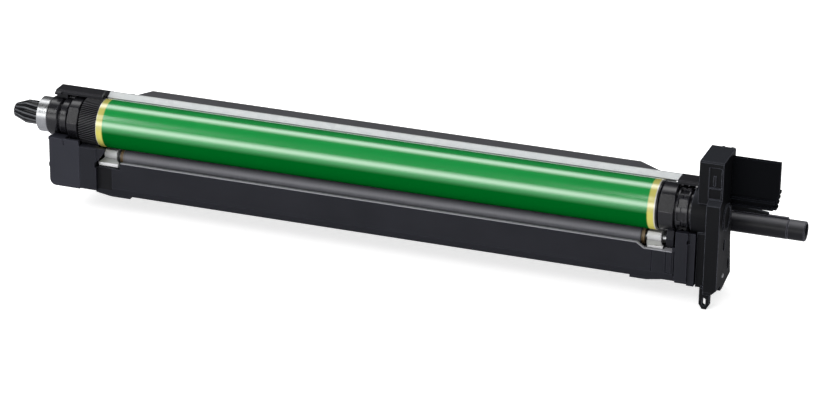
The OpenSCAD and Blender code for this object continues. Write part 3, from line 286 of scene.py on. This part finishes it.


# Moulded plastics, each with its own tone, the left end cover's paler by painted light; the lift is
# how much paler than its light tone the painted highlight along an edge is
plastics = {
    "blackMoulding": {
        "base": (0.0042, 0.0042, 0.0054), "light": (0.008, 0.008, 0.01), "topSheen": (0.022, 0.022, 0.026),
        "smooth": 0.16, "rough": 0.28, "specular": 0.62, "highlightLift": 9.0},
    "capMoulding": {
        "base": (0.006, 0.006, 0.0075), "light": (0.01, 0.01, 0.0125), "topSheen": (0.026, 0.026, 0.03),
        "smooth": 0.34, "rough": 0.46, "specular": 0.3, "highlightLift": 6.0},
    "gearMoulding": {
        "base": (0.0016, 0.0016, 0.0021), "light": (0.003, 0.003, 0.0038),
        "smooth": 0.2, "rough": 0.32, "specular": 0.3, "highlightLift": 10.0, "edgeHighlightShare": 0.8, "radius": 0.00012},
    "frameMoulding": {
        "base": (0.009, 0.0096, 0.013), "light": (0.015, 0.0156, 0.021),
        "smooth": 0.45, "rough": 0.58, "specular": 0.14, "highlightLift": 4.0},
    # the frame's plastic made paler for the left end cover: painted light falling from the left
    "leftLitMoulding": {
        "base": (0.017, 0.018, 0.024), "light": (0.024, 0.025, 0.034),
        "smooth": 0.45, "rough": 0.58, "specular": 0.16, "highlightLift": 3.0},
    "coverMoulding": {
        "base": (0.0034, 0.0037, 0.0045), "light": (0.0066, 0.007, 0.0085), "topSheen": (0.026, 0.028, 0.034),
        "smooth": 0.4, "rough": 0.55, "specular": 0.1, "highlightLift": 20.0, "topSheenShare": 0.75, "edgeHighlightShare": 0.8},
    "plateMoulding": {
        "base": (0.045, 0.045, 0.049), "light": (0.07, 0.07, 0.077),
        "smooth": 0.4, "rough": 0.5, "specular": 0.4, "highlightLift": 1.6},
    "gripMoulding": {
        "base": (0.0014, 0.0017, 0.0025), "light": (0.003, 0.0034, 0.0046),
        "smooth": 0.45, "rough": 0.58, "specular": 0.04, "highlightLift": 10.0},
    # its pale top colour paints a highlight along the tube's top
    "tubeMoulding": {
        "base": (0.007, 0.007, 0.009), "light": (0.011, 0.011, 0.014), "topSheen": (0.12, 0.12, 0.13),
        "smooth": 0.32, "rough": 0.42, "specular": 0.22, "highlightLift": 14.0, "topSheenShare": 0.85, "edgeHighlightShare": 0.9},
    "splineMoulding": {
        "base": (0.0026, 0.003, 0.0038), "light": (0.005, 0.0056, 0.007),
        "smooth": 0.24, "rough": 0.36, "specular": 0.3, "highlightLift": 12.0, "edgeHighlightShare": 0.8, "radius": 0.00018},
    "whiteMoulding": {
        "base": (0.62, 0.63, 0.64), "light": (0.68, 0.68, 0.69),
        "smooth": 0.34, "rough": 0.5, "specular": 0.4, "highlightLift": 1.0},
    "tanMoulding": {
        "base": (0.09, 0.06, 0.03), "light": (0.22, 0.155, 0.08),
        "smooth": 0.35, "rough": 0.5, "specular": 0.5, "highlightLift": 1.5},
    "ivoryMoulding": {
        "base": (0.5, 0.48, 0.41), "light": (0.58, 0.56, 0.49),
        "smooth": 0.35, "rough": 0.5, "specular": 0.4, "highlightLift": 1.1},
    # the pale strip on the wall's top stands in for the highlight on its lit top edge: painted highlight
    "paleHighlightFilm": {
        "base": (0.24, 0.24, 0.26), "light": (0.31, 0.31, 0.34),
        "smooth": 0.3, "rough": 0.42, "specular": 0.5, "highlightLift": 1.2},
}
plainSheenAndHighlight = {"topSheenShare": 0.5, "edgeHighlightShare": 0.6, "radius": 0.0006}  # painted sheen and edge highlight, where a plastic says nothing else


def makePlastic(name, look):
    look = {**plainSheenAndHighlight, "topSheen": look["light"], **look}
    material, tree, shader = newMaterial(name, {"Specular IOR Level": look["specular"]})
    applyGrainAndPaintedLight(tree, shader, {
        "Base": look["base"], "Light": look["light"], "TopSheen": look["topSheen"], "TopSheenShare": look["topSheenShare"],
        "EdgeHighlight": [look["highlightLift"] * channel for channel in look["light"]], "EdgeHighlightShare": look["edgeHighlightShare"],
        "Radius": look["radius"], "Smooth": look["smooth"], "Rough": look["rough"]})
    return material


# Ridges of the gear and the spline: a painted highlight makes the tips paler than the grooves, from one
# share of the full radius to another, and the radius grows over a tapered nose
ridges = {
    "gearMoulding": {"node": "drive_flange", "from": 0.982, "to": 1.0, "nose": 0.001, "noseShare": 1.0,
                     "tip": (0.055, 0.055, 0.061)},
    "splineMoulding": {"node": "spline_coupling", "from": 0.965, "to": 0.995, "nose": 0.008,
                       "noseShare": 0.585, "tip": (0.07, 0.073, 0.08)},
}


def paintTipHighlights(material, look):
    tree = material.node_tree
    shader = tree.nodes["Principled BSDF"]
    low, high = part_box(look["node"])
    place = objectPlace(tree)
    radius = vectorMaths(tree, "LENGTH", acrossAxis(tree, place))
    nose = (low.x, low.x + look["nose"])
    crown = ramp(tree, part(tree, place, "X"), nose, (high.z * look["noseShare"], high.z))
    share = maths(tree, "DIVIDE", radius, crown)
    # painted highlight on the ridge tips
    tips = ramp(tree, share, (look["from"], look["to"]), curve="SMOOTHSTEP")
    feed(tree, shader, {"Base Color": mix(tree, "RGBA", tips, baseColour(shader), look["tip"])})


# The pocket at the left of the front wall gets painted shade, so it looks darker than the grained wall
pocketShade = {
    "start": 0.0012,            # from the drum tube's left end
    "width": 0.0098,
    "low": -0.038,
    "high": -0.0235,
    "lineSunk": 0.0002,         # how far the pale line lies behind the wall's face
    "depth": (0.00036, 0.00144),  # behind the wall's face
    "tone": (0.0062, 0.0064, 0.0078),
}


def paintPocketShade(material):
    tree = material.node_tree
    shader = tree.nodes["Principled BSDF"]
    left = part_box("drum_tube")[0].x + pocketShade["start"]
    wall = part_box("wall_strip")[0].y - pocketShade["lineSunk"]
    spans = {"X": (left, left + pocketShade["width"]),
             "Y": [wall + depth for depth in pocketShade["depth"]],
             "Z": (pocketShade["low"], pocketShade["high"])}
    place = objectPlace(tree)
    inside = 1.0
    for axis, (start, stop) in spans.items():
        near = maths(tree, "COMPARE", part(tree, place, axis), (start + stop) / 2, (stop - start) / 2)
        inside = maths(tree, "MULTIPLY", inside, near)
    # painted shade over the pocket
    feed(tree, shader, {"Base Color": mix(tree, "RGBA", inside, baseColour(shader), pocketShade["tone"])})


# Metals: streaks run round the drum's axis where they are stretched, and are even elsewhere
metals = {
    "groundSteel": {
        "metal": 0.9, "stretch": (1, 0.02, 0.02), "scale": 2400.0, "dark": (0.45, 0.46, 0.47),
        "bright": (0.53, 0.54, 0.55), "smooth": 0.26, "rough": 0.32, "relief": 0.015},
    "shieldSteel": {
        "metal": 0.7, "scale": 300.0, "dark": (0.38, 0.39, 0.4), "bright": (0.55, 0.56, 0.57),
        "smooth": 0.3, "rough": 0.42},
    "darkSteel": {
        "metal": 0.8, "scale": 400.0, "dark": (0.06, 0.06, 0.065), "bright": (0.12, 0.12, 0.13),
        "smooth": 0.3, "rough": 0.45},
    "springBronze": {
        "metal": 0.8, "scale": 300.0, "dark": (0.5, 0.32, 0.14), "bright": (0.66, 0.45, 0.22),
        "smooth": 0.25, "rough": 0.4},
}
plainMetal = {"stretch": (1, 1, 1), "relief": 0.06, "depth": 0.00002}  # where a metal says nothing else


def makeMetal(name, look):
    material, tree, shader = newMaterial(name, {"Metallic": look["metal"]})
    wearStreaks(tree, shader, {**plainMetal, **look})
    return material


# Drum: green coating over aluminium, with uncoated bands at both ends
drumLook = {
    "leftBare": 0.0042,         # width of the uncoated band at the drive end
    "rightBare": 0.0045,
    "leftRim": 0.0003,          # bare, polished rim at the drive end
    "rightRim": 0.0007,
    "fade": 0.0005,
    "green": (0.0, 0.26, 0.044),
    "deepGreen": (0.0, 0.225, 0.037),
    "shadeGreen": (0.0, 0.076, 0.009),
    "band": (0.46, 0.42, 0.1),
    "rim": (0.42, 0.41, 0.36),
    "patches": 30.0,            # scale of the slow changes between the two greens
    "patchDetail": 2.0,
    "shine": (-0.1, 0.22),      # upward tilt where its shine begins, and where it is full
    "roughness": 0.21,
    "coatRoughness": 0.13,
    "coatBend": 2.0,            # index of refraction
    "outside": 0.9,             # how squarely a face looks away from the axis, to count as outside
}


def makeDrumCoating():
    material, tree, shader = newMaterial("drumCoating", {
        "Roughness": drumLook["roughness"], "Coat Roughness": drumLook["coatRoughness"],
        "Coat IOR": drumLook["coatBend"]})
    low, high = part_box("drum_tube")
    place, facing = objectPlace(tree), surfaceNormal(tree)
    patches = noise(tree, place, drumLook["patches"], drumLook["patchDetail"])
    fresh = mix(tree, "RGBA", patches, drumLook["deepGreen"], drumLook["green"])
    # the shade over the nip takes the light and the shine off the drum's lower side
    lit = ramp(tree, part(tree, facing, "Z"), drumLook["shine"], curve="SMOOTHSTEP")
    colour = mix(tree, "RGBA", lit, drumLook["shadeGreen"], fresh)

    # bare bands and rims: where each begins, and how it fades in towards its end of the drum
    along = part(tree, place, "X")
    fade = drumLook["fade"]
    bare = [("band", low.x + drumLook["leftBare"], -fade), ("band", high.x - drumLook["rightBare"], fade),
            ("rim", high.x - drumLook["rightRim"], fade / 2), ("rim", low.x + drumLook["leftRim"], -fade / 2)]
    for tone, start, reach in bare:
        reached = ramp(tree, along, (start - reach, start + reach), curve="SMOOTHSTEP")
        colour = mix(tree, "RGBA", reached, colour, drumLook[tone])

    # round off the tube's facets: the outside shades as a true cylinder about X
    turned = addNode(tree, "ShaderNodeVectorTransform", {"Vector": acrossAxis(tree, place)},
                     vector_type="NORMAL", convert_from="OBJECT", convert_to="WORLD").outputs["Vector"]
    outward = vectorMaths(tree, "NORMALIZE", turned)
    squarely = vectorMaths(tree, "DOT_PRODUCT", outward, facing)
    outer = maths(tree, "GREATER_THAN", squarely, drumLook["outside"])
    rounded = mix(tree, "VECTOR", outer, facing, outward)
    feed(tree, shader, {"Base Color": colour, "Specular IOR Level": lit, "Coat Weight": lit,
                        "Normal": rounded, "Coat Normal": rounded})
    return material


# Charge roller's rubber: smooth, dark, with a faint ground texture, and painted shade close to its neighbours
rubberLook = {
    "stretch": (1, 0.05, 0.05),
    "scale": 1600.0,
    "dark": (0.15, 0.15, 0.17),
    "bright": (0.18, 0.18, 0.2),
    "smooth": 0.28,
    "rough": 0.4,
    "specular": 0.35,
    "relief": 0.05,
    "depth": 0.00003,
    "shadeReach": 0.006,
    "samples": 4,
}


def makeRollerRubber():
    material, tree, shader = newMaterial("rollerRubber", {"Specular IOR Level": rubberLook["specular"]})
    wearStreaks(tree, shader, rubberLook)
    # painted shade where the rubber lies close to the drum and its other neighbours
    shade = addNode(tree, "ShaderNodeAmbientOcclusion", samples=rubberLook["samples"])
    feed(tree, shade, {"Distance": rubberLook["shadeReach"], "Color": baseColour(shader)})
    feed(tree, shader, {"Base Color": shade.outputs["Color"]})
    return material


# Foam of the roller that wipes the charge roller
foamLook = {
    "cells": 1700.0,
    "dark": (0.45, 0.45, 0.47),
    "bright": (0.62, 0.62, 0.64),
    "relief": 0.6,
    "depth": 0.0002,
    "roughness": 0.9,
}


def makeFoam():
    material, tree, shader = newMaterial("wipingFoam", {"Roughness": foamLook["roughness"]})
    cells = addNode(tree, "ShaderNodeTexVoronoi", {"Vector": objectPlace(tree), "Scale": foamLook["cells"]})
    wall = cells.outputs["Distance"]
    feed(tree, shader, {"Base Color": mix(tree, "RGBA", wall, foamLook["dark"], foamLook["bright"]),
                        "Normal": relief(tree, wall, foamLook["relief"], foamLook["depth"])})
    return material


# Galvanised sheet: pale zinc with faint spangle
zincLook = {
    "spangle": 260.0,
    "dark": (0.5, 0.52, 0.53),
    "bright": (0.56, 0.58, 0.58),
    "metal": 0.35,
    "roughness": 0.42,
}


def makeZinc():
    material, tree, shader = newMaterial("galvanisedSheet", {
        "Metallic": zincLook["metal"], "Roughness": zincLook["roughness"]})
    spangle = addNode(tree, "ShaderNodeTexVoronoi", {
        "Vector": objectPlace(tree), "Scale": zincLook["spangle"]}).outputs["Color"]
    tone = mix(tree, "RGBA", spangle, zincLook["dark"], zincLook["bright"])
    feed(tree, shader, {"Base Color": tone})
    return material


# Cleaning blade's urethane: honey coloured, a little see-through
urethaneLook = {
    "grain": {"Base": (0.42, 0.26, 0.1), "Light": (0.5, 0.33, 0.14), "EdgeHighlight": (0.5, 0.33, 0.14),
              "TopSheenShare": 0.0, "Relief": 0.04, "Smooth": 0.25, "Rough": 0.35},
    "seeThrough": 0.1,
}


def makeUrethane():
    material, tree, shader = newMaterial("bladeUrethane", {"Transmission Weight": urethaneLook["seeThrough"]})
    applyGrainAndPaintedLight(tree, shader, urethaneLook["grain"])
    return material


materials = {name: makePlastic(name, look) for name, look in plastics.items()}
materials.update({name: makeMetal(name, look) for name, look in metals.items()})
for ridged, ridgeLook in ridges.items():
    paintTipHighlights(materials[ridged], ridgeLook)
paintPocketShade(materials["frameMoulding"])
materials["drumCoating"] = makeDrumCoating()
materials["rollerRubber"] = makeRollerRubber()
materials["wipingFoam"] = makeFoam()
materials["galvanisedSheet"] = makeZinc()
materials["bladeUrethane"] = makeUrethane()
print("materials made:", len(materials))

finishes = {
    "drumCoating": ["drum_tube"],
    "blackMoulding": ["support_flange", "left_collar", "right_collar"],
    "capMoulding": ["left_holder_cap", "right_holder_cap", "recovery_seal"],
    "gearMoulding": ["drive_flange"],
    "tubeMoulding": ["waste_outlet_tube"],
    "coverMoulding": ["end_cover"],
    "plateMoulding": ["housing_cover"],
    "gripMoulding": ["grip"],
    "frameMoulding": ["main_frame", "waste_housing"],
    "leftLitMoulding": ["left_end_cover"],
    "paleHighlightFilm": ["wall_strip"],
    "splineMoulding": ["spline_coupling"],
    "whiteMoulding": ["roller_block_left", "roller_block_right"],
    "tanMoulding": ["roller_spacers", "bearing_cage"],
    "ivoryMoulding": ["auger_screw", "auger_gear", "idler_gear"],
    "groundSteel": ["bearing_outer_ring", "bearing_inner_ring", "bearing_balls", "drive_shaft",
                    "support_shaft", "charge_roller_shaft", "cleaner_roller_shaft", "idler_pin",
                    "contact_pin", "roller_spring_left", "roller_spring_right", "sheet_screws"],
    "shieldSteel": ["bearing_shields"],
    "darkSteel": ["cap_screws"],
    "springBronze": ["earth_plate"],
    "rollerRubber": ["charge_roller_sleeve"],
    "wipingFoam": ["cleaner_roller_foam"],
    "galvanisedSheet": ["blade_holder"],
    "bladeUrethane": ["cleaning_blade"],
}


def dressNodes():
    for finish, names in finishes.items():
        for name in names:
            mesh = nodes[name].data
            mesh.materials.clear()
            mesh.materials.append(materials[finish])
    bare = sorted(set(nodes) - {name for names in finishes.values() for name in names})
    print("nodes dressed, left bare:", bare)


# Low web that stands on the outlet tube's rib, behind the grip's foot
webLook = {
    "behind": 0.008,            # how far it reaches in behind the cover
    "length": 0.0262,
    "thickness": 0.0016,
    "rise": 0.0044,             # at the cover
    "endRise": 0.0016,          # at the free end
    "sunk": 0.0004,
    "chamfer": 0.0003,
}


def makeTubeWeb():
    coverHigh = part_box("end_cover")[1]
    tubeLow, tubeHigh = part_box("waste_outlet_tube")
    middle = (tubeLow.y + tubeHigh.y) / 2
    start, base = coverHigh.x - webLook["behind"], tubeHigh.z - webLook["sunk"]
    stop, endTop = start + webLook["length"], tubeHigh.z + webLook["endRise"]
    half, chamfer = webLook["thickness"] / 2, webLook["chamfer"]
    outline = [(start, base), (stop, base), (stop, endTop - chamfer), (stop - chamfer, endTop),
               (start, tubeHigh.z + webLook["rise"])]
    # loops across the thickness, the outer two drawn in for the chamfer
    loops = [(-half, chamfer), (-half + chamfer, 0.0), (half - chamfer, 0.0), (half, chamfer)]
    points = []
    for across, inset in loops:
        for x, z in outline:
            back = inset if x > start else 0.0
            drop = inset if z > base else 0.0
            points.append((x - back, middle + across, z - drop))
    count, lastLoop = len(outline), len(loops) - 1
    faces = [tuple(range(count)), tuple(lastLoop * count + k for k in reversed(range(count)))]
    for loop in range(lastLoop):
        for k in range(count):
            n = (k + 1) % count
            faces.append((loop * count + n, loop * count + k, (loop + 1) * count + k, (loop + 1) * count + n))
    mesh = bpy.data.meshes.new("tubeWeb")
    mesh.from_pydata(points, [], faces)
    mesh.materials.append(materials["coverMoulding"])
    web = bpy.data.objects.new("tubeWeb", mesh)
    bpy.context.scene.collection.objects.link(web)
    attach(web, "frame")
    print("outlet tube's web made")


# Floor and lights: a floor that looks white to the camera, two long soft boxes in three steps each,
# whose reflections run along the drum, two small ones for the rings at its ends, and a broad panel
# that only fills the shadows
studio = {
    "floorSize": 8.0,
    "floorGap": 0.0002,
    "floorRoughness": 0.9,
    "floorShine": 0.0,
    "floorColour": (0.95, 0.95, 0.95),
    "floorMirrored": (0.34, 0.34, 0.36),  # what shiny surfaces see of it
    "floorGlow": 0.3,
    "floorSeen": 0.62,          # its glow to the camera, so that the shadow stays faint
    "roomColour": (1, 1, 1),
    "roomGlow": 0.5,
    "roomMirrored": 0.02,       # what shiny surfaces see of it
    "roomSeen": 1.0,            # what the camera sees of it, which is white
    "boxes": [
        # name, height angle above straight ahead, distance, middle along X, length, width, power
        ("keyCore", 12.0, 1.3, -0.25, 2.4, 0.3, 2.6),
        ("keyMiddle", 12.0, 1.31, -0.25, 2.5, 0.54, 3.8),
        ("keyHalo", 12.0, 1.32, -0.25, 2.6, 0.8, 5.4),
        ("topCore", 106.0, 1.3, -0.2, 2.4, 0.3, 2.4),
        ("topMiddle", 106.0, 1.31, -0.2, 2.5, 0.54, 3.6),
        ("topHalo", 106.0, 1.32, -0.2, 2.6, 0.8, 5.4),
        ("leftGlint", 44.0, 1.3, -0.66, 0.18, 0.44, 2.1),
        ("rightGlint", 42.0, 1.3, 0.185, 0.12, 0.4, 0.9),
    ],
    "fill": ("fillPanel", 42.0, 2.4, -1.0, 3.0, 2.6, 17.0),
}


def makeFloor():
    level = cadLow.z - studio["floorGap"]
    half = studio["floorSize"] / 2
    mesh = bpy.data.meshes.new("studioFloor")
    corners = [(-half, -half, level), (half, -half, level), (half, half, level), (-half, half, level)]
    mesh.from_pydata(corners, [], [(0, 1, 2, 3)])
    floor = bpy.data.objects.new("studioFloor", mesh)
    bpy.context.scene.collection.objects.link(floor)
    material, tree, shader = newMaterial("whiteFloor", {
        "Roughness": studio["floorRoughness"], "Specular IOR Level": studio["floorShine"]})
    path = addNode(tree, "ShaderNodeLightPath").outputs
    tone = mix(tree, "RGBA", path["Is Glossy Ray"], studio["floorColour"], studio["floorMirrored"])
    glow = mix(tree, "FLOAT", path["Is Camera Ray"], studio["floorGlow"], studio["floorSeen"])
    feed(tree, shader, {"Base Color": tone, "Emission Color": tone, "Emission Strength": glow})
    mesh.materials.append(material)
    print("floor laid")


def makeWorld():
    world = bpy.data.worlds.new("studioWorld")
    bpy.context.scene.world = world
    world.use_nodes = True
    tree = world.node_tree
    path = addNode(tree, "ShaderNodeLightPath").outputs
    seen = maths(tree, "MAXIMUM", path["Is Camera Ray"], path["Is Transmission Ray"])
    room = mix(tree, "FLOAT", path["Is Glossy Ray"], studio["roomGlow"], studio["roomMirrored"])
    strength = mix(tree, "FLOAT", seen, room, studio["roomSeen"])
    feed(tree, tree.nodes["Background"], {"Color": studio["roomColour"], "Strength": strength})
    print("room made")


def softBox(name, rise, distance, middle, length, width, power):
    data = bpy.data.lights.new(name, "AREA")
    data.shape = "RECTANGLE"
    data.size = length
    data.size_y = width
    data.energy = power
    lamp = bpy.data.objects.new(name, data)
    bpy.context.scene.collection.objects.link(lamp)
    angle = math.radians(rise)
    aim = Vector((middle, 0, 0))
    lamp.location = aim + distance * Vector((0, -math.cos(angle), math.sin(angle)))
    lamp.rotation_mode = "QUATERNION"
    lamp.rotation_quaternion = (aim - lamp.location).to_track_quat("-Z", "Y")
    return lamp


def makeLights():
    for box in studio["boxes"]:
        softBox(*box)
    fill = softBox(*studio["fill"])
    fill.visible_glossy = False
    print("lights made:", len(studio["boxes"]) + 1)


makeCamera()
dressNodes()
makeTubeWeb()
makeFloor()
makeWorld()
makeLights()
bpy.context.scene.view_settings.view_transform = "Standard"

print("scene ready")
